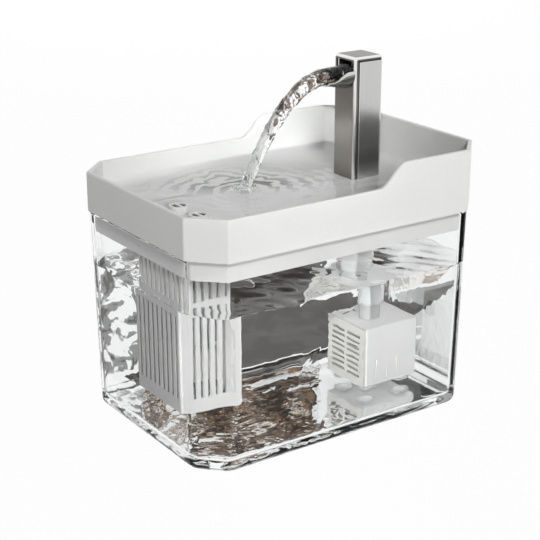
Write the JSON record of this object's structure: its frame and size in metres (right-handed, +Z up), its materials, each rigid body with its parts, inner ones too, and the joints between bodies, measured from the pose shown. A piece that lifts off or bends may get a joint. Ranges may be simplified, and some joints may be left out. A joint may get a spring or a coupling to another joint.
{
  "type": "pet water fountain",
  "caption": "Pet water fountain: clear tank under a white drinking tray with a raised end, steel faucet tower and spout, drain-back filter basket and submerged pump.",
  "frame": {"origin": "on the ground, under the middle of the tank", "axes": "+X towards the faucet end with the high rim, -X the low drinking end, -Y the long front side, +Z up"},
  "size_m": [0.2, 0.1428, 0.2098],
  "materials": {
    "clear_tank": "clear, polished",
    "clear_pads": "clear, soft",
    "white_tray": "white, gloss",
    "black_rubber": "matte black",
    "satin_steel": "satin, brushed upright",
    "dark_steel": "satin, brushed upright",
    "black_core": "black, moulded",
    "bright_steel": "polished sheet",
    "white_basket": "white, moulded",
    "grey_foam": "open foam",
    "white_fleece": "non-woven",
    "grey_fleece": "non-woven",
    "white_lid": "white, gloss",
    "clear_silicone": "milky, soft",
    "white_pump": "white, moulded",
    "ivory_cover": "white, moulded",
    "dark_plastic": "dark, moulded",
    "grey_plastic": "grey, moulded",
    "ferrite": "ground, dark",
    "white_ceramic": "polished",
    "lamination_steel": "varnished sheets",
    "copper_wire": "enamelled wire",
    "board_green": "solder mask",
    "black_resin": "cast resin"
  },
  "bodies": {
    "tank": {"tank": "clear_tank", "tank_pads": "clear_pads", "hose_coupling": "clear_silicone", "pump_housing": "white_pump", "suction_cups": "clear_silicone", "cable_gland": "black_rubber", "volute": "grey_plastic", "volute_cover": "grey_plastic", "impeller_shaft": "white_ceramic", "shaft_bushes": "black_rubber", "stator_core": "lamination_steel", "stator_coil": "copper_wire", "driver_board": "board_green", "motor_potting": "black_resin"},
    "tray": {"tray": "white_tray", "spigot_seal": "black_rubber"},
    "faucet": {"faucet_sleeve": "satin_steel", "faucet_front_plate": "dark_steel", "faucet_duct": "black_core", "spout": "bright_steel"},
    "basket": {"filter_basket": "white_basket", "foam_pad": "grey_foam", "resin_pouch": "white_fleece", "carbon_pouch": "grey_fleece", "cotton_pad": "white_fleece"},
    "lid": {"filter_lid": "white_lid"},
    "strainer": {"pump_strainer": "ivory_cover"},
    "regulator": {"flow_regulator": "dark_plastic"},
    "rotor": {"impeller": "grey_plastic", "rotor_magnet": "ferrite"}
  },
  "joints": [
    {"name": "tray_lift", "type": "slide", "parent": "tank", "child": "tray", "axis": [0, 0, 1], "range_m": [0, 0.11]},
    {"name": "faucet_lift", "type": "slide", "parent": "tray", "child": "faucet", "axis": [0, 0, 1], "range_m": [0, 0.03]},
    {"name": "basket_lift", "type": "slide", "parent": "tray", "child": "basket", "axis": [0, 0, 1], "range_m": [0, 0.11]},
    {"name": "lid_lift", "type": "slide", "parent": "basket", "child": "lid", "axis": [0, 0, 1], "range_m": [0, 0.02]},
    {"name": "strainer_pull", "type": "slide", "parent": "tank", "child": "strainer", "axis": [-1, 0, 0], "range_m": [0, 0.015]},
    {"name": "regulator_slide", "type": "slide", "parent": "tank", "child": "regulator", "axis": [1, 0, 0], "range_m": [0, 0.004]},
    {"name": "impeller_spin", "type": "hinge", "parent": "tank", "child": "rotor", "pos_m": [0.056, 0, 0.0286], "axis": [1, 0, 0], "continuous": true}
  ]
}
